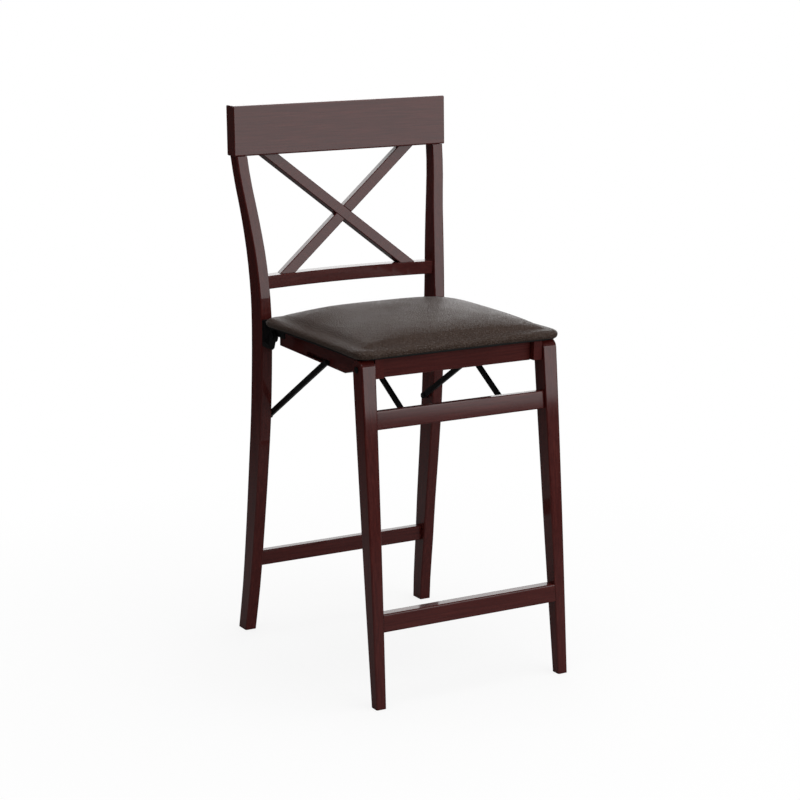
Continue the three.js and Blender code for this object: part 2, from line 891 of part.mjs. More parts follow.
function hingeRivet(side) {
  const outer = hingeOuter + fit;
  const inner = hingeOuter - 2 * hingePlate - 2 * fit;
  const shank = roundAcross(
    side * (inner - rivetHeadHeight / 2),
    side * (outer + rivetHeadHeight / 2),
    hingeY,
    hingeZ,
    hingeRivetRadius,
  );
  const outerHead = roundAcross(
    side * outer,
    side * (outer + rivetHeadHeight),
    hingeY,
    hingeZ,
    rivetHeadRadius,
  );
  const innerHead = roundAcross(
    side * (inner - rivetHeadHeight),
    side * inner,
    hingeY,
    hingeZ,
    rivetHeadRadius,
  );
  return join(shank, outerHead, innerHead);
}

// Leg bolts, through the leg into a threaded sleeve in the seat rail
function boltInnerX() {
  return sideRailOuterAt(legPivotY) - boltSleeveLength;
}

function legBolt(side) {
  const headFrom = legOuter + fit;
  const head = roundAcross(
    side * headFrom,
    side * (headFrom + legBoltHeadHeight),
    legPivotY,
    legPivotZ,
    legBoltHead,
  );
  const shank = roundAcross(
    side * boltInnerX(),
    side * (headFrom + legBoltHeadHeight / 2),
    legPivotY,
    legPivotZ,
    legBoltRadius,
  );
  return join(head, shank);
}

function boltSleeve(side) {
  const from = side * boltInnerX();
  const to = side * (boltInnerX() + boltSleeveLength - fit);
  const sleeve = roundAcross(from, to, legPivotY, legPivotZ, boltSleeveRadius);
  const bore = roundAcross(
    side * (boltInnerX() - overrun),
    side * legOuter,
    legPivotY,
    legPivotZ,
    legBoltRadius + fit,
  );
  return cut(sleeve, bore);
}

// Stays: a flat bar with round ends and a knob that runs in a slot
function frontStayFoot() {
  const lean = (legPivotY - legFootY) / legPivotZ;
  const mid = frontRailBottom + frontRailHeight / 2;
  const at = legAt(mid);
  const rear = at.y - at.depth / 2 + frontRailRecess + frontRailThickness;
  const guess = frontMeetZ - (frontMeetY - rear - frontStayFootGap) * frontStayRise;
  const y = rear + (guess - mid) * lean + frontStayFootGap;
  return { y, z: frontMeetZ - (frontMeetY - y) * frontStayRise };
}

function rearStayFoot() {
  return { y: postAt(rearStayFootZ).y, z: rearStayFootZ };
}

function stay(side, x, foot, head) {
  const half = stayThickness / 2;
  const angle = Math.atan2(head.z - foot.z, head.y - foot.y);
  const quarter = Math.PI / 2;
  const outline = new THREE.Shape();
  outline.absarc(head.y, head.z, stayWidth / 2, angle - quarter, angle + quarter);
  outline.absarc(foot.y, foot.z, stayWidth / 2, angle + quarter, angle - quarter);
  outline.closePath();
  const bar = extrudeAcross(outline, side * (x - half), side * (x + half), 0, roundSteps);
  const bore = roundAcross(
    side * (x - stayThickness),
    side * (x + stayThickness),
    foot.y,
    foot.z,
    stayPinRadius + fit,
  );
  const knob = roundAcross(
    side * (x - half - stayPinHeadHeight),
    side * x,
    head.y,
    head.z,
    stayPinRadius,
  );
  return cut(join(bar, knob), bore);
}

function rearStayScrew(side) {
  const foot = rearStayFoot();
  const eyeInner = rearStayX - stayThickness / 2 - fit;
  const postInner = postAt(foot.z).outer - postWidth;
  const head = roundAcross(
    side * (eyeInner - stayPinHeadHeight),
    side * eyeInner,
    foot.y,
    foot.z,
    stayPinHead,
  );
  const shank = roundAcross(
    side * (eyeInner - stayPinHeadHeight / 2),
    side * (postInner + rearStayScrewDepth),
    foot.y,
    foot.z,
    stayPinRadius,
  );
  return join(head, shank);
}

function rearStaySpacer(side) {
  const foot = rearStayFoot();
  const postInner = postAt(foot.z).outer - postWidth;
  const stayFace = rearStayX + stayThickness / 2;
  const from = side * (stayFace + fit);
  const to = side * (postInner - fit);
  const ring = roundAcross(from, to, foot.y, foot.z, stayPinHead);
  const bore = roundAcross(
    side * stayFace,
    side * postInner,
    foot.y,
    foot.z,
    stayPinRadius + fit,
  );
  return cut(ring, bore);
}

// Clip on the back of the front rail that holds the foot of a front stay
function stayClip(side) {
  const foot = frontStayFoot();
  const lean = Math.atan2(legPivotY - legFootY, legPivotZ);
  const earFrom = stayThickness / 2 + fit;
  const earTo = earFrom + clipPlate;
  const baseFrom = fit - frontStayFootGap;
  const half = clipBaseHeight / 2;
  const reach = earTo + clipPlate;
  const base = block(-reach, reach, baseFrom, baseFrom + clipPlate - fit, -half, half);
  const ears = [-1, 1].map((way) => {
    const from = way * earFrom;
    const to = way * earTo;
    const arm = block(from, to, baseFrom, 0, -stayPinHead, stayPinHead);
    return join(arm, roundAcross(from, to, 0, 0, stayPinHead));
  });
  const bore = roundAcross(-reach, reach, 0, 0, stayPinRadius + fit);
  const clip = cut(join(base, ...ears), bore);
  clip.rotateX(-lean);
  return clip.translate(side * frontStayX, foot.y, foot.z);
}

function stayClipPin(side) {
  const foot = frontStayFoot();
  const outer = stayThickness / 2 + clipPlate + 2 * fit;
  const shank = roundAcross(-outer, outer, 0, 0, stayPinRadius);
  const heads = [-1, 1].map((way) =>
    roundAcross(way * outer, way * (outer + stayPinHeadHeight), 0, 0, stayPinHead),
  );
  return join(shank, ...heads).translate(side * frontStayX, foot.y, foot.z);
}

// Slotted track under the seat board for the head of a front stay
function stayTrack(side) {
  const outer = frontStayX - stayThickness / 2 - stayPinHeadHeight - fit;
  const inner = outer - trackPlate;
  const top = boardBottom - fit;
  const web = block(side * inner, side * outer, trackFrontY, trackRearY, top - trackHeight, top);
  const flange = block(
    side * (outer - trackFlange),
    side * outer,
    trackFrontY,
    trackRearY,
    top - trackPlate,
    top,
  );
  const half = trackSlotWidth / 2;
  const from = side * (inner - overrun);
  const to = side * (outer + overrun);
  const slotStart = trackFrontY + trackSlotMargin + half;
  const slotEnd = trackRearY - trackSlotMargin - half;
  const slot = block(from, to, slotStart, slotEnd, frontMeetZ - half, frontMeetZ + half);
  const ends = [slotStart, slotEnd].map((y) => roundAcross(from, to, y, frontMeetZ, half));
  return cut(join(web, flange), slot, ...ends);
}

// Assembly
function add(group, name, geometry, finish) {
  const mesh = new THREE.Mesh(geometry, finish);
  mesh.name = name;
  group.add(mesh);
}

const backFrame = new THREE.Group();
const seat = new THREE.Group();
const frontFrame = new THREE.Group();
const stays = new THREE.Group();

add(backFrame, "crest_rail", crestRail(), woodFinish);
add(backFrame, "lower_back_rail", lowerBackRail(), woodFinish);
add(backFrame, "cross_bar_front", crossedBar(1), woodFinish);
add(backFrame, "cross_bar_rear", crossedBar(-1), woodFinish);
add(backFrame, "rear_stretcher", rearStretcher(), woodFinish);
add(seat, "front_apron", frontApron(), woodFinish);
add(seat, "rear_seat_rail", rearSeatRail(), woodFinish);
add(seat, "seat_board", seatBoard(), plyFinish);
add(seat, "seat_cushion", seatCushion(), vinylFinish);
add(frontFrame, "front_rail", frontRail(), woodFinish);
add(frontFrame, "footrest", footrest(), woodFinish);

for (const [word, side] of [["left", -1], ["right", 1]]) {
  add(backFrame, `back_post_${word}`, post(side), woodFinish);
  add(backFrame, `hinge_bracket_${word}`, hingeBracket(side), steelFinish);
  add(backFrame, `hinge_rivet_${word}`, hingeRivet(side), steelFinish);
  bracketScrewHeights().forEach((z, i) => {
    const place = i === 0 ? "lower" : "upper";
    add(backFrame, `bracket_screw_${place}_${word}`, bracketScrew(side, z), steelFinish);
  });
  add(backFrame, `rear_stay_screw_${word}`, rearStayScrew(side), steelFinish);
  add(backFrame, `rear_stay_spacer_${word}`, rearStaySpacer(side), steelFinish);
  add(seat, `seat_side_rail_${word}`, sideRail(side), woodFinish);
  add(seat, `hinge_ear_${word}`, hingeEar(side), steelFinish);
  add(seat, `front_stay_track_${word}`, stayTrack(side), steelFinish);
  add(seat, `leg_bolt_${word}`, legBolt(side), steelFinish);
  add(seat, `leg_bolt_sleeve_${word}`, boltSleeve(side), steelFinish);
  add(frontFrame, `front_leg_${word}`, frontLeg(side), woodFinish);
  add(frontFrame, `front_stay_clip_${word}`, stayClip(side), steelFinish);
  add(frontFrame, `front_stay_pin_${word}`, stayClipPin(side), steelFinish);
  const rearStay = stay(side, rearStayX, rearStayFoot(), { y: rearMeetY, z: rearMeetZ });
  add(stays, `rear_stay_${word}`, rearStay, steelFinish);
  const frontStay = stay(side, frontStayX, frontStayFoot(), { y: frontMeetY, z: frontMeetZ });
  add(stays, `front_stay_${word}`, frontStay, steelFinish);
}

const stool = new THREE.Group();
stool.add(backFrame, seat, frontFrame, stays);

export default stool;
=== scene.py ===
"""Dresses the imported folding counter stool: lacquered wood, black steel and a padded seat."""

import json
import math

import bpy
from mathutils import Matrix, Vector

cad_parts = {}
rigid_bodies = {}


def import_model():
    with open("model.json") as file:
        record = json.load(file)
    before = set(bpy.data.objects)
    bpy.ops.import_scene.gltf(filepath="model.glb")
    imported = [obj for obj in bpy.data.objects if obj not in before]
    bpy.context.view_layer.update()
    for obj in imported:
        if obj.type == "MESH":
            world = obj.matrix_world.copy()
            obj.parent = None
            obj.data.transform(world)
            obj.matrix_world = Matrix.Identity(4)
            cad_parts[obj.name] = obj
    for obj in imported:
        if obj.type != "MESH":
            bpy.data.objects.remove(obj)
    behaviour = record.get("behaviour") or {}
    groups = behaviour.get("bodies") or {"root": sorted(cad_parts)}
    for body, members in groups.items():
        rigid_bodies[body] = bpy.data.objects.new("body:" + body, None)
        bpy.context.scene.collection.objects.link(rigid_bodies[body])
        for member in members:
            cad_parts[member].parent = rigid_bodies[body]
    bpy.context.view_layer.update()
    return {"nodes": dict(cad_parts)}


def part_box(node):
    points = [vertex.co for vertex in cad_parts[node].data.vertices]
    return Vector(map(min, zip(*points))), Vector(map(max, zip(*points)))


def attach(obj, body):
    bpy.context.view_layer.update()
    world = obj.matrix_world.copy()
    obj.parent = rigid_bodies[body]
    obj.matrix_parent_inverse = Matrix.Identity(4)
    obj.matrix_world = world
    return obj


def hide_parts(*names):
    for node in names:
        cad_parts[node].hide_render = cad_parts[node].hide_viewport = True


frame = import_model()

bl_info = {
    "name": "Folding Counter Stool",
    "version": (1, 0, 0),
    "blender": (4, 5, 0),
    "location": "View3D > Sidebar > Stool",
    "description": "Padded seat and finishes for a folding counter stool",
    "category": "Add Mesh",
}

NODES = frame["nodes"]

# CAD nodes by finish
UPRIGHTS = ("back_post_left", "back_post_right", "front_leg_left", "front_leg_right")
RAILS = ("crest_rail", "lower_back_rail", "rear_stretcher", "front_apron", "rear_seat_rail",
         "front_rail", "footrest")
SIDE_RAILS = ("seat_side_rail_left", "seat_side_rail_right")
# Each crossed bar, and the sign of its slope seen from the front
CROSS_BARS = {"cross_bar_front": 1.0, "cross_bar_rear": -1.0}
PLATES = ("hinge_bracket_", "hinge_ear_", "front_stay_track_", "front_stay_clip_")
RODS = ("rear_stay_left", "rear_stay_right", "front_stay_left", "front_stay_right")
NOT_STEEL = (*UPRIGHTS, *RAILS, *SIDE_RAILS, *CROSS_BARS, "seat_board", "seat_cushion")

# Turns that lay the wood's grain along Z and along Y
GRAIN_UP = (0.0, math.radians(90.0), 0.0)
GRAIN_BACK = (0.0, 0.0, math.radians(90.0))

# Wood: noise drawn out along the grain, and what each noise is spread over
FIGURE = {"stretch": 14.0, "scale": 5.0, "detail": 4.0, "roughness": 0.6, "distortion": 0.5}
STREAKS = {"stretch": 30.0, "scale": 14.0, "detail": 5.0, "roughness": 0.65}
PORES = {"stretch": 22.0, "scale": 60.0, "detail": 3.0, "roughness": 0.6}
FIGURE_SPREAD = (0.25, 0.75, 0.35, 1.0)
STREAK_SPREAD = (0.38, 0.68)
PORE_SPREAD = (0.35, 0.65)
STAIN_ROUGHNESS = (0.3, 0.7, 0.46, 0.6)
PORE_STRENGTH = 0.6
WOOD_LEVELS = {"Specular IOR Level": 0.16, "Coat Weight": 1.0, "Coat IOR": 1.5}

# Steel: the paint's skin, and dust that makes it paler and rougher in places
SKIN = {"scale": 1400.0, "detail": 2.0}
SKIN_DEPTH = 0.00008
SKIN_STRENGTH = 0.5
DUST = {"scale": 45.0, "detail": 4.0}
DUST_SPREAD = (0.4, 0.8)
DUST_RANGE = (0.3, 0.7)
DUST_GAIN = 2.6
DUST_LIFT = 0.004
ROUGHNESS_BELOW = 0.05
ROUGHNESS_ABOVE = 0.07
# How much smoother than the plates the rods and the fasteners are
ROD_POLISH = 0.08
FASTENER_POLISH = 0.12
STEEL_LEVELS = {"Specular IOR Level": 0.25}

# Vinyl: cells with wavering creases, on broad patches and small waves
WOBBLE = {"scale": 260.0, "detail": 2.0}
WOBBLE_REACH = 0.0016
CREASE_SPREAD = (0.0, 0.45)
# Painted shade: the vinyl's colour darkens towards the creases between its cells
CREASE_PAINTED_SHADE = (0.0, 1.0, 0.62, 1.0)
PATCHES = {"scale": 24.0, "detail": 4.0, "roughness": 0.6}
PATCH_SHADE = (0.3, 0.7, 0.72, 1.0)
PATCH_ROUGHNESS = (0.3, 0.7, 0.32, 0.40)
WAVES = {"scale": 75.0, "detail": 3.0}
WAVE_SHARE = 0.5
VINYL_DEPTH = 0.0012
VINYL_LEVELS = {"Specular IOR Level": 0.36, "Specular Tint": (1.0, 0.92, 0.87, 1.0),
                "Sheen Weight": 0.04, "Sheen Roughness": 0.5}

# Dust cloth
WEAVE = {"Scale": 420.0, "Distortion": 0.4}
WEAVE_DEPTH = 0.0001
WEAVE_STRENGTH = 0.6
CLOTH_DARK = (0.006, 0.006, 0.006)
CLOTH_PALE = (0.022, 0.021, 0.021)
CLOTH_LEVELS = {"Roughness": 0.9, "Specular IOR Level": 0.2}

# Padded seat: heights above the top of the seat board
TAPER_START = 0.003
HELD_BELOW = 0.0035
GROOVE_ABOVE = 0.006
# Length of the taper, as a multiple of the edge's height
TAPER_LENGTH = 1.2
# Points nearer to the pad's middle than this aren't drawn in
STILL_MIDDLE = 0.001
# Only faces that look up at least this much are pressed
GROOVE_RISE = 0.2
PAD_MERGE = 0.00002
PRESSURE = 4.0
CLOTH_QUALITY = 5
CLOTH_STIFFNESS = 0.6
CLOTH_FRAMES = 20
# Smoothing: its strength, and its rounds before and after the pad swells
SMOOTH_SHARE = 0.5
SMOOTH_BEFORE = 3
SMOOTH_AFTER = 6

# Hem: a roll that stands a little out from the seat board
HEM_OUT = 0.0050
HEM_RISE = 0.0024
HEM_CORNER = 0.024
HEM_CORNER_STEPS = 8
HEM_ROUNDNESS = 3
HEM_MERGE = 0.00001

# Stage: each lamp's name, place, aim, size and power in watts
LAMPS = (
    ("top_lamp", (0.2, -0.2, 3.2), (0.0, 0.0, 0.5), (2.6, 2.6), 44.0),
    ("front_lamp", (1.2, -1.95, 1.09), (0.1, 0.0, 0.95), (3.0, 1.5), 24.0),
    ("back_lamp", (2.0, 3.5, 1.25), (0.0, 0.0, 0.9), (5.0, 2.0), 50.0),
)
FLOOR_SIZE = 12.0
FLOOR_LEVELS = {"Roughness": 0.9, "Specular IOR Level": 0.1}
# Distances from the stool between which the floor's look changes, and what it changes to
GLOSS_FADE = (0.8, 2.2)
GLOSS_FAR = (0.02, 0.02, 0.02)
GLOW_FADE = (0.35, 1.2, 0.84, 1.0)
WHITE = (1.0, 1.0, 1.0, 1.0)
WORLD_DIFFUSE = 0.4
WORLD_GLOSS = 0.03
CAMERA_PLACE = (-1.8714, -3.2736, 1.3072)
CAMERA_TARGET = (-0.023166, -0.040642, 0.457468)
CAMERA_ROLL = 0.048
CAMERA_CLIP = (0.05, 60.0)
SENSOR_WIDTH = 36.0


# Sizes and colours that a user may change
class StoolWood(bpy.types.PropertyGroup):
    stain: bpy.props.FloatVectorProperty(
        name="Stain", description="Colour of the stained wood",
        default=(0.056, 0.0032, 0.0024), subtype="COLOR", min=0.0, max=1.0)
    grain: bpy.props.FloatVectorProperty(
        name="Grain", description="Colour of the lighter grain lines",
        default=(0.105, 0.0140, 0.0100), subtype="COLOR", min=0.0, max=1.0)
    pores: bpy.props.FloatProperty(
        name="Pore Depth", description="Depth of the open pores under the lacquer",
        default=0.00012, min=0.0, max=0.001, unit="LENGTH", precision=5)
    lacquer: bpy.props.FloatProperty(
        name="Lacquer Roughness", description="Roughness of the clear lacquer",
        default=0.07, min=0.0, max=1.0, subtype="FACTOR")


class StoolSteel(bpy.types.PropertyGroup):
    paint: bpy.props.FloatVectorProperty(
        name="Paint", description="Colour of the painted steel",
        default=(0.004, 0.004, 0.0043), subtype="COLOR", min=0.0, max=1.0)
    roughness: bpy.props.FloatProperty(
        name="Roughness", description="Roughness of the painted steel",
        default=0.42, min=0.0, max=1.0, subtype="FACTOR")


class StoolSeat(bpy.types.PropertyGroup):
    vinyl: bpy.props.FloatVectorProperty(
        name="Vinyl", description="Colour of the seat cover",
        default=(0.060, 0.034, 0.023), subtype="COLOR", min=0.0, max=1.0)
    # Painted shade: the colour that the cover is darkened to in its grain's creases
    vinyl_crease_shade: bpy.props.FloatVectorProperty(
        name="Vinyl Creases", description="Colour in the creases of the cover's grain",
        default=(0.014, 0.008, 0.006), subtype="COLOR", min=0.0, max=1.0)
    grain_size: bpy.props.FloatProperty(
        name="Grain Size", description="Width of one cell of the cover's grain",
        default=0.0038, min=0.0005, max=0.01, unit="LENGTH", precision=4)
    slack: bpy.props.FloatProperty(
        name="Starting Slack", description="How much smaller the pad is before it swells",
        default=0.0025, min=0.0, max=0.02, unit="LENGTH", precision=4)
    swell: bpy.props.FloatProperty(
        name="Most Swelling", description="How far a point of the pad may move as it swells",
        default=0.0065, min=0.0, max=0.03, unit="LENGTH", precision=4)
    edge: bpy.props.FloatProperty(
        name="Edge Height", description="Height of the pad's side, which is drawn in to the top",
        default=0.012, min=0.002, max=0.03, unit="LENGTH", precision=4)
    corner: bpy.props.FloatProperty(
        name="Corner Radius", description="Radius of the pad's corners seen from above",
        default=0.026, min=0.005, max=0.08, unit="LENGTH", precision=4)
    groove_inset: bpy.props.FloatProperty(
        name="Groove Inset", description="Distance of the groove in from the pad's outline",
        default=0.021, min=0.005, max=0.05, unit="LENGTH", precision=4)
    groove_width: bpy.props.FloatProperty(
        name="Groove Width", description="Width of the groove",
        default=0.016, min=0.002, max=0.03, unit="LENGTH", precision=4)
    groove_depth: bpy.props.FloatProperty(
        name="Groove Depth", description="Depth of the groove",
        default=0.0028, min=0.0, max=0.01, unit="LENGTH", precision=4)
    hem: bpy.props.FloatProperty(
        name="Hem Radius", description="Radius of the rolled hem under the pad",
        default=0.0019, min=0.0005, max=0.004, unit="LENGTH", precision=4)
    voxel: bpy.props.FloatProperty(
        name="Cover Mesh", description="Size of the squares that the cover is made of",
        default=0.0048, min=0.003, max=0.01, unit="LENGTH", precision=4)


class StoolStage(bpy.types.PropertyGroup):
    floor: bpy.props.FloatVectorProperty(
        name="Floor", description="Colour of the floor",
        default=(0.97, 0.97, 0.97), subtype="COLOR", min=0.0, max=1.0)
    floor_glow: bpy.props.FloatVectorProperty(
        name="Floor Bounce", description="Colour of the floor as it lights the stool",
        default=(0.45, 0.45, 0.45), subtype="COLOR", min=0.0, max=1.0)
    floor_gloss: bpy.props.FloatVectorProperty(
        name="Floor in Gloss", description="Colour of the floor in glossy surfaces",
        default=(0.16, 0.16, 0.16), subtype="COLOR", min=0.0, max=1.0)
    lamp: bpy.props.FloatProperty(
        name="Lamp Level", description="Strength of the lamps against their plain level",
        default=1.0, min=0.0, max=4.0)
    lens: bpy.props.FloatProperty(
        name="Lens", description="Focal length of the camera on a 36 mm sensor",
        default=101.66, min=10.0, max=300.0)


GROUPS = {"stool_wood": StoolWood, "stool_steel": StoolSteel, "stool_seat": StoolSeat,
          "stool_stage": StoolStage}


# Material building
def new_material(name):
    material = bpy.data.materials.new(name)
    material.use_nodes = True
    tree = material.node_tree
    return material, tree, tree.nodes["Principled BSDF"]


def fill(node, values):
    """Sets a node's inputs by name."""
    for name, value in values.items():
        node.inputs[name].default_value = value


def object_place(tree):
    return tree.nodes.new("ShaderNodeTexCoord").outputs["Object"]


def noise(tree, vector, scale, detail, roughness=0.5, distortion=0.0, output="Fac"):
    node = tree.nodes.new("ShaderNodeTexNoise")
    fill(node, {"Scale": scale, "Detail": detail, "Roughness": roughness,
                "Distortion": distortion})
    tree.links.new(vector, node.inputs["Vector"])
    return node.outputs[output]


def grain_noise(tree, turn, stretch, **pattern):
    """Noise drawn out along the grain, which lies along X before the turn."""
    mapping = tree.nodes.new("ShaderNodeMapping")
    mapping.vector_type = "TEXTURE"
    fill(mapping, {"Scale": (1.0, 1.0 / stretch, 1.0 / stretch), "Rotation": turn})
    tree.links.new(object_place(tree), mapping.inputs["Vector"])
    return noise(tree, mapping.outputs["Vector"], **pattern)


def spread(tree, value, low, high, to_low=0.0, to_high=1.0):
    node = tree.nodes.new("ShaderNodeMapRange")
    fill(node, {"From Min": low, "From Max": high, "To Min": to_low, "To Max": to_high})
    tree.links.new(value, node.inputs["Value"])
    return node.outputs["Result"]


def combine(tree, operation, first, second):
    node = tree.nodes.new("ShaderNodeMath")
    node.operation = operation
    for socket, value in zip(node.inputs, (first, second)):
        if isinstance(value, float):
            socket.default_value = value
        else:
            tree.links.new(value, socket)
    return node.outputs["Value"]


def blend_colours(tree, factor, first, second):
    """Mixes two colours, each three numbers or a socket."""
    node = tree.nodes.new("ShaderNodeMix")
    node.data_type = "RGBA"
    for name, colour in (("A", first), ("B", second)):
        if isinstance(colour, bpy.types.NodeSocket):
            tree.links.new(colour, node.inputs[name])
        else:
            node.inputs[name].default_value = (*colour, 1.0)
    tree.links.new(factor, node.inputs["Factor"])
    return node.outputs["Result"]


def raise_surface(tree, shader, height, distance, strength):
    node = tree.nodes.new("ShaderNodeBump")
    fill(node, {"Distance": distance, "Strength": strength})
    tree.links.new(height, node.inputs["Height"])
    tree.links.new(node.outputs["Normal"], shader.inputs["Normal"])


def wood_material(name, settings, turn):
    """Stained wood with open pores, under satin lacquer."""
    material, tree, shader = new_material(name)
    figure = grain_noise(tree, turn, **FIGURE)
    streaks = grain_noise(tree, turn, **STREAKS)
    pores = grain_noise(tree, turn, **PORES)
    lines = combine(tree, "MULTIPLY", spread(tree, streaks, *STREAK_SPREAD),
                    spread(tree, figure, *FIGURE_SPREAD))
    colour = blend_colours(tree, lines, settings.stain, settings.grain)
    tree.links.new(colour, shader.inputs["Base Color"])
    tree.links.new(spread(tree, pores, *STAIN_ROUGHNESS), shader.inputs["Roughness"])
    fill(shader, {**WOOD_LEVELS, "Coat Roughness": settings.lacquer})
    height = spread(tree, pores, *PORE_SPREAD)
    raise_surface(tree, shader, height, settings.pores, PORE_STRENGTH)
    return material


def steel_material(name, settings, roughness):
    """Black paint with a fine pebbled skin and a little dust."""
    material, tree, shader = new_material(name)
    place = object_place(tree)
    skin = noise(tree, place, **SKIN)
    dust = noise(tree, place, **DUST)
    paler = tuple(min(c * DUST_GAIN + DUST_LIFT, 1.0) for c in settings.paint)
    colour = blend_colours(tree, spread(tree, dust, *DUST_SPREAD), settings.paint, paler)
    tree.links.new(colour, shader.inputs["Base Color"])
    rough = spread(tree, dust, *DUST_RANGE, roughness - ROUGHNESS_BELOW,
                   roughness + ROUGHNESS_ABOVE)
    tree.links.new(rough, shader.inputs["Roughness"])
    fill(shader, STEEL_LEVELS)
    raise_surface(tree, shader, skin, SKIN_DEPTH, SKIN_STRENGTH)
    return material


def vinyl_cells(tree, place, size):
    """Distance from the creases between small rounded cells, with wavering borders."""
    shift = tree.nodes.new("ShaderNodeVectorMath")
    shift.operation = "MULTIPLY_ADD"
    shift.inputs[1].default_value = (WOBBLE_REACH, WOBBLE_REACH, WOBBLE_REACH)
    tree.links.new(noise(tree, place, output="Color", **WOBBLE), shift.inputs[0])
    tree.links.new(place, shift.inputs[2])
    cells = tree.nodes.new("ShaderNodeTexVoronoi")
    cells.feature = "DISTANCE_TO_EDGE"
    cells.inputs["Scale"].default_value = 1.0 / size
    tree.links.new(shift.outputs["Vector"], cells.inputs["Vector"])
    return cells.outputs["Distance"]


def vinyl_material(name, settings):
    """Embossed vinyl: small rounded cells with thin creases between them, with painted shade that
    darkens the colour towards the creases.
    """
    material, tree, shader = new_material(name)
    place = object_place(tree)
    crease = spread(tree, vinyl_cells(tree, place, settings.grain_size), *CREASE_SPREAD)
    patches = noise(tree, place, **PATCHES)
    waves = noise(tree, place, **WAVES)
    height = combine(tree, "ADD", crease, combine(tree, "MULTIPLY", waves, WAVE_SHARE))
    # Painted shade darkens the colour towards the creases, on patches of random tone
    crease_shade_and_tone = combine(tree, "MULTIPLY", spread(tree, crease, *CREASE_PAINTED_SHADE),
                   spread(tree, patches, *PATCH_SHADE))
    colour = blend_colours(tree, crease_shade_and_tone, settings.vinyl_crease_shade, settings.vinyl)
    tree.links.new(colour, shader.inputs["Base Color"])
    tree.links.new(spread(tree, patches, *PATCH_ROUGHNESS), shader.inputs["Roughness"])
    fill(shader, VINYL_LEVELS)
    raise_surface(tree, shader, height, VINYL_DEPTH, 1.0)
    return material


def cloth_material(name):
    """Black dust cloth: a fine plain weave."""
    material, tree, shader = new_material(name)
    place = object_place(tree)
    threads = []
    for direction in ("X", "Y"):
        wave = tree.nodes.new("ShaderNodeTexWave")
        wave.bands_direction = direction
        fill(wave, WEAVE)
        tree.links.new(place, wave.inputs["Vector"])
        threads.append(wave.outputs["Fac"])
    weave = combine(tree, "MULTIPLY", *threads)
    colour = blend_colours(tree, weave, CLOTH_DARK, CLOTH_PALE)
    tree.links.new(colour, shader.inputs["Base Color"])
    fill(shader, CLOTH_LEVELS)
    raise_surface(tree, shader, weave, WEAVE_DEPTH, WEAVE_STRENGTH)
    return material


def give(node, material):
    mesh = NODES[node].data
    mesh.materials.clear()
    mesh.materials.append(material)


# Mesh helpers
def deselect():
    if bpy.context.object and bpy.context.object.mode != "OBJECT":
        bpy.ops.object.mode_set(mode="OBJECT")
    for obj in bpy.context.view_layer.objects:
        obj.select_set(False)


def only(obj):
    deselect()
    obj.select_set(True)
    bpy.context.view_layer.objects.active = obj


def apply_modifiers(obj):
    only(obj)
    for modifier in list(obj.modifiers):
        bpy.ops.object.modifier_apply(modifier=modifier.name)


def merge_points(obj, distance):
    """Merges the points of a mesh that meet, and turns its faces outward."""
    only(obj)
    bpy.ops.object.mode_set(mode="EDIT")
    bpy.ops.mesh.select_mode(type="VERT")
    bpy.ops.mesh.select_all(action="SELECT")
    bpy.ops.mesh.remove_doubles(threshold=distance)
    bpy.ops.mesh.normals_make_consistent(inside=False)
    bpy.ops.object.mode_set(mode="OBJECT")


def add_smoothing(obj, rounds):
    smooth = obj.modifiers.new("soften", "SMOOTH")
    smooth.factor = SMOOTH_SHARE
    smooth.iterations = rounds


def seat_plan():
    """Lowest and highest corner of the seat pad's solid."""
    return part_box("seat_cushion")


def board_top():
    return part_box("seat_board")[1].z


# Padded seat
def pad_block(settings):
    """A copy of the pad's solid, drawn in a little above its base so that it can swell."""
    pad = bpy.data.objects.new("seat_pad", NODES["seat_cushion"].data.copy())
    bpy.context.scene.collection.objects.link(pad)
    pad.data.materials.clear()
    merge_points(pad, PAD_MERGE)
    low, high = seat_plan()
    centre = (low + high) / 2
    base = board_top() + TAPER_START
    for vertex in pad.data.vertices:
        if vertex.co.z <= base:
            continue
        share = min((vertex.co.z - base) / (settings.edge * TAPER_LENGTH), 1.0)
        side = Vector((vertex.co.x - centre.x, vertex.co.y - centre.y, 0.0))
        reach = max(abs(side.x) / (high.x - centre.x), abs(side.y) / (high.y - centre.y))
        if side.length > STILL_MIDDLE:
            vertex.co -= side.normalized() * settings.slack * share * min(reach, 1.0)
        vertex.co.z -= settings.slack * share
    return pad


def remesh_pad(pad, settings):
    """An even skin of small squares, softened a little."""
    only(pad)
    pad.data.remesh_voxel_size = settings.voxel
    bpy.ops.object.voxel_remesh()
    add_smoothing(pad, SMOOTH_BEFORE)
    apply_modifiers(pad)


def swell_pad(pad, settings):
    """Fills the pad like a cushion: its skin under pressure, held down by its base."""
    lowest = seat_plan()[0].z
    start = [vertex.co.copy() for vertex in pad.data.vertices]
    held = pad.vertex_groups.new(name="held")
    height = board_top() + HELD_BELOW
    base = [vertex.index for vertex in pad.data.vertices if vertex.co.z < height]
    held.add(base, 1.0, "REPLACE")
    cloth = pad.modifiers.new("cover", "CLOTH")
    cloth.settings.vertex_group_mass = held.name
    cloth.settings.use_pressure = True
    cloth.settings.uniform_pressure_force = PRESSURE
    cloth.settings.effector_weights.gravity = 0.0
    cloth.settings.quality = CLOTH_QUALITY
    cloth.settings.bending_stiffness = CLOTH_STIFFNESS
    cloth.collision_settings.use_collision = False
    scene = bpy.context.scene
    for at in range(1, CLOTH_FRAMES + 1):
        scene.frame_set(at)
    apply_modifiers(pad)
    scene.frame_set(1)
    for vertex, before in zip(pad.data.vertices, start):
        move = vertex.co - before
        if move.length > settings.swell:
            move *= settings.swell / move.length
        vertex.co = before + move
        vertex.co.z = max(vertex.co.z, lowest)
    pad.vertex_groups.clear()


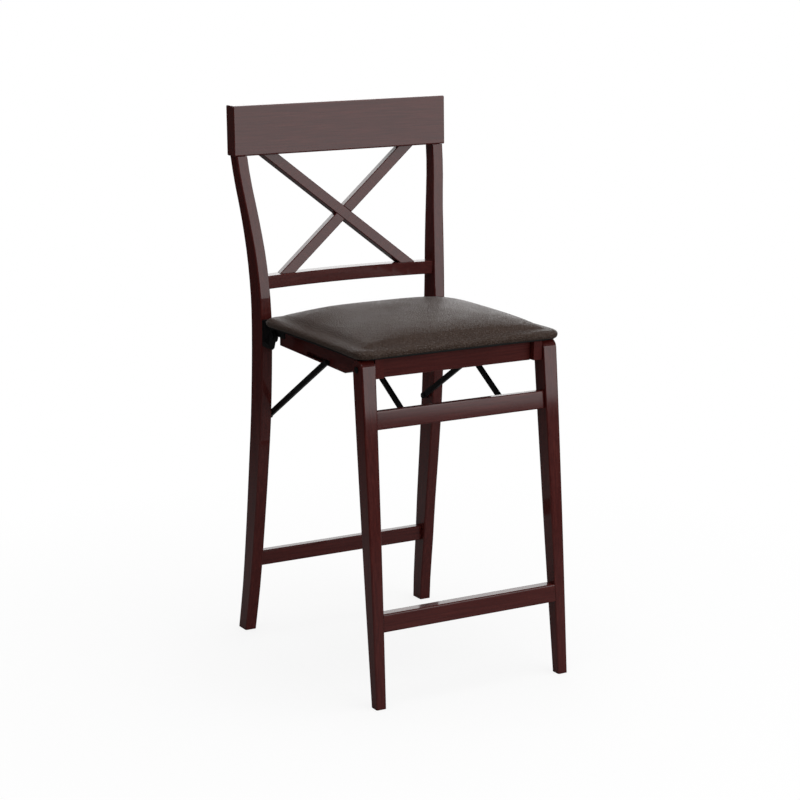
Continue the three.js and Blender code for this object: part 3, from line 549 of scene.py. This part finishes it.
def finish_pad(pad):
    """Evens the pad's skin and divides it once."""
    add_smoothing(pad, SMOOTH_AFTER)
    divide = pad.modifiers.new("cover", "SUBSURF")
    divide.levels = 1
    divide.render_levels = 1
    apply_modifiers(pad)
    bpy.ops.object.shade_smooth()


def inward(x, y, low, high, corner):
    """Distance of a point in from the pad's rounded outline, seen from above."""
    centre = (low + high) / 2
    from_side = (high.x - low.x) / 2 - abs(x - centre.x)
    from_end = (high.y - low.y) / 2 - abs(y - centre.y)
    if from_side < corner and from_end < corner:
        return corner - math.hypot(corner - from_side, corner - from_end)
    return min(from_side, from_end)


def press_groove(pad, settings):
    """Sinks the shallow channel that runs round the pad between its border and its crown."""
    low, high = seat_plan()
    base = board_top() + GROOVE_ABOVE
    rises = [vertex.normal.z for vertex in pad.data.vertices]
    for vertex, rise in zip(pad.data.vertices, rises):
        if vertex.co.z < base or rise < GROOVE_RISE:
            continue
        reach = inward(vertex.co.x, vertex.co.y, low, high, settings.corner)
        off = (reach - settings.groove_inset) / (settings.groove_width / 2)
        vertex.co.z -= settings.groove_depth * math.exp(-off * off)


def hem_path():
    """Points round the pad's lower edge, where the cover turns under the board."""
    low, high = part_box("seat_board")
    left, right = low.x - HEM_OUT + HEM_CORNER, high.x + HEM_OUT - HEM_CORNER
    front, back = low.y - HEM_OUT + HEM_CORNER, high.y + HEM_OUT - HEM_CORNER
    height = seat_plan()[0].z + HEM_RISE
    points = []
    for x, y, start in ((right, back, 0.0), (left, back, 90.0), (left, front, 180.0),
                        (right, front, 270.0)):
        for step in range(HEM_CORNER_STEPS + 1):
            angle = math.radians(start + 90.0 * step / HEM_CORNER_STEPS)
            points.append(Vector((x + HEM_CORNER * math.cos(angle),
                                  y + HEM_CORNER * math.sin(angle), height)))
    return points


class STOOL_OT_seat_pad(bpy.types.Operator):
    """Makes the padded, crowned seat in embossed vinyl"""

    bl_idname = "stool.seat_pad"
    bl_label = "Padded Seat"

    def execute(self, context):
        settings = context.scene.stool_seat
        deselect()
        pad = pad_block(settings)
        remesh_pad(pad, settings)
        swell_pad(pad, settings)
        finish_pad(pad)
        press_groove(pad, settings)
        pad.data.materials.append(vinyl_material("brown_vinyl", settings))
        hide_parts("seat_cushion")
        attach(pad, "seat")
        return {"FINISHED"}


class STOOL_OT_seat_hem(bpy.types.Operator):
    """Makes the rolled black welt where the cover turns under the seat board"""

    bl_idname = "stool.seat_hem"
    bl_label = "Seat Hem"

    def execute(self, context):
        settings = context.scene.stool_seat
        deselect()
        points = hem_path()
        bpy.ops.mesh.primitive_circle_add(vertices=len(points), location=(0.0, 0.0, 0.0))
        hem = context.object
        for vertex, point in zip(hem.data.vertices, points):
            vertex.co = point
        bpy.ops.object.convert(target="CURVE")
        hem = context.object
        hem.data.bevel_depth = settings.hem
        hem.data.bevel_resolution = HEM_ROUNDNESS
        bpy.ops.object.convert(target="MESH")
        hem = context.object
        hem.name = "seat_hem"
        merge_points(hem, HEM_MERGE)
        bpy.ops.object.shade_smooth()
        hem.data.materials.clear()
        hem.data.materials.append(bpy.data.materials["dust_cloth"])
        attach(hem, "seat")
        return {"FINISHED"}


class STOOL_OT_wood_finish(bpy.types.Operator):
    """Stains and lacquers the posts, legs, rails and crossed bars along their grain"""

    bl_idname = "stool.wood_finish"
    bl_label = "Wood Finish"

    def execute(self, context):
        settings = context.scene.stool_wood
        upright = wood_material("wood_uprights", settings, GRAIN_UP)
        across = wood_material("wood_rails", settings, (0.0, 0.0, 0.0))
        along = wood_material("wood_seat_sides", settings, GRAIN_BACK)
        for node in UPRIGHTS:
            give(node, upright)
        for node in RAILS:
            give(node, across)
        for node in SIDE_RAILS:
            give(node, along)
        for node, way in CROSS_BARS.items():
            low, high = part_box(node)
            slope = math.atan2(high.z - low.z, high.x - low.x)
            turn = (0.0, -way * slope, 0.0)
            give(node, wood_material("wood_" + node, settings, turn))
        return {"FINISHED"}


class STOOL_OT_steel_finish(bpy.types.Operator):
    """Paints the brackets, tracks, stays, bolts and screws black"""

    bl_idname = "stool.steel_finish"
    bl_label = "Steel Finish"

    def execute(self, context):
        settings = context.scene.stool_steel
        plates = steel_material("black_plate", settings, settings.roughness)
        rods = steel_material("black_rod", settings, settings.roughness - ROD_POLISH)
        fasteners = steel_material("black_fastener", settings,
                                   settings.roughness - FASTENER_POLISH)
        for node in NODES:
            if node.startswith(PLATES):
                give(node, plates)
            elif node in RODS:
                give(node, rods)
            elif node not in NOT_STEEL:
                give(node, fasteners)
        return {"FINISHED"}


class STOOL_OT_dust_cloth(bpy.types.Operator):
    """Covers the underside of the seat board with black cloth"""

    bl_idname = "stool.dust_cloth"
    bl_label = "Dust Cloth"

    def execute(self, context):
        give("seat_board", cloth_material("dust_cloth"))
        return {"FINISHED"}


# Stage
def floor_material(settings):
    """Floor that is white to the eye, pale to soft light and dark in gloss, with a soft shadow."""
    material, tree, shader = new_material("floor")
    fill(shader, FLOOR_LEVELS)
    rays = tree.nodes.new("ShaderNodeLightPath")
    seen = blend_colours(tree, rays.outputs["Is Camera Ray"], settings.floor_glow, settings.floor)
    reach = tree.nodes.new("ShaderNodeVectorMath")
    reach.operation = "LENGTH"
    tree.links.new(object_place(tree), reach.inputs[0])
    far = spread(tree, reach.outputs["Value"], *GLOSS_FADE)
    gloss = blend_colours(tree, far, settings.floor_gloss, GLOSS_FAR)
    colour = blend_colours(tree, rays.outputs["Is Glossy Ray"], seen, gloss)
    tree.links.new(colour, shader.inputs["Base Color"])
    glow = tree.nodes.new("ShaderNodeEmission")
    fill(glow, {"Color": WHITE, "Strength": 1.0})
    fade = spread(tree, reach.outputs["Value"], *GLOW_FADE)
    mix = tree.nodes.new("ShaderNodeMixShader")
    tree.links.new(combine(tree, "MULTIPLY", rays.outputs["Is Camera Ray"], fade),
                   mix.inputs["Fac"])
    tree.links.new(shader.outputs["BSDF"], mix.inputs[1])
    tree.links.new(glow.outputs["Emission"], mix.inputs[2])
    tree.links.new(mix.outputs["Shader"], tree.nodes["Material Output"].inputs["Surface"])
    return material


def soft_lamp(name, place, aim, size, power):
    data = bpy.data.lights.new(name, "AREA")
    data.shape = "RECTANGLE"
    data.size, data.size_y = size
    data.energy = power
    lamp = bpy.data.objects.new(name, data)
    bpy.context.scene.collection.objects.link(lamp)
    lamp.visible_camera = False
    lamp.location = place
    lamp.rotation_euler = (Vector(aim) - Vector(place)).to_track_quat("-Z", "Y").to_euler()


def set_surroundings(scene):
    """A world that is white to the eye, dimmer to soft light and nearly black in gloss."""
    world = bpy.data.worlds.new("surroundings")
    scene.world = world
    world.use_nodes = True
    tree = world.node_tree
    back = tree.nodes["Background"]
    back.inputs["Color"].default_value = WHITE
    rays = tree.nodes.new("ShaderNodeLightPath")
    soft = combine(tree, "MULTIPLY", rays.outputs["Is Diffuse Ray"], WORLD_DIFFUSE)
    seen = combine(tree, "MAXIMUM", rays.outputs["Is Camera Ray"], soft)
    strength = combine(tree, "MAXIMUM", seen, WORLD_GLOSS)
    tree.links.new(strength, back.inputs["Strength"])


def set_camera(scene, lens):
    """The camera that was fitted to the photograph."""
    data = bpy.data.cameras.new("camera")
    data.lens = lens
    data.sensor_width = SENSOR_WIDTH
    data.clip_start, data.clip_end = CAMERA_CLIP
    camera = bpy.data.objects.new("camera", data)
    scene.collection.objects.link(camera)
    camera.location = CAMERA_PLACE
    view = Vector(CAMERA_TARGET) - Vector(CAMERA_PLACE)
    turn = view.to_track_quat("-Z", "Y").to_matrix()
    roll = Matrix.Rotation(math.radians(CAMERA_ROLL), 3, "Z")
    camera.rotation_euler = (turn @ roll).to_euler()
    scene.camera = camera


class STOOL_OT_stage(bpy.types.Operator):
    """Sets up the pale floor, the soft lamps, the white surroundings and the camera"""

    bl_idname = "stool.stage"
    bl_label = "Stage"

    def execute(self, context):
        scene = context.scene
        settings = scene.stool_stage
        deselect()
        bpy.ops.mesh.primitive_plane_add(size=FLOOR_SIZE, location=(0.0, 0.0, 0.0))
        floor = context.object
        floor.name = "floor"
        floor.data.materials.append(floor_material(settings))
        for name, place, aim, size, power in LAMPS:
            soft_lamp(name, place, aim, size, power * settings.lamp)
        set_surroundings(scene)
        set_camera(scene, settings.lens)
        scene.view_settings.view_transform = "Standard"
        return {"FINISHED"}


OPERATORS = (STOOL_OT_wood_finish, STOOL_OT_steel_finish, STOOL_OT_dust_cloth,
             STOOL_OT_seat_pad, STOOL_OT_seat_hem, STOOL_OT_stage)


class STOOL_PT_panel(bpy.types.Panel):
    """Lists the steps that dress the stool, with their settings"""

    bl_idname = "STOOL_PT_panel"
    bl_label = "Folding Counter Stool"
    bl_space_type = "VIEW_3D"
    bl_region_type = "UI"
    bl_category = "Stool"

    def draw(self, context):
        layout = self.layout
        for operator in OPERATORS:
            layout.operator(operator.bl_idname)
        for group, kind in GROUPS.items():
            box = layout.box()
            box.label(text=group.replace("_", " ").title())
            for name in kind.__annotations__:
                box.prop(getattr(context.scene, group), name)


def register():
    for kind in GROUPS.values():
        bpy.utils.register_class(kind)
    for operator in OPERATORS:
        bpy.utils.register_class(operator)
    bpy.utils.register_class(STOOL_PT_panel)
    for group, kind in GROUPS.items():
        setattr(bpy.types.Scene, group, bpy.props.PointerProperty(type=kind))


def unregister():
    for group in GROUPS:
        delattr(bpy.types.Scene, group)
    bpy.utils.unregister_class(STOOL_PT_panel)
    for operator in reversed(OPERATORS):
        bpy.utils.unregister_class(operator)
    for kind in reversed(list(GROUPS.values())):
        bpy.utils.unregister_class(kind)


def main():
    register()
    bpy.ops.stool.wood_finish()
    bpy.ops.stool.steel_finish()
    bpy.ops.stool.dust_cloth()
    bpy.ops.stool.seat_pad()
    bpy.ops.stool.seat_hem()
    bpy.ops.stool.stage()


if __name__ == "__main__":
    main()
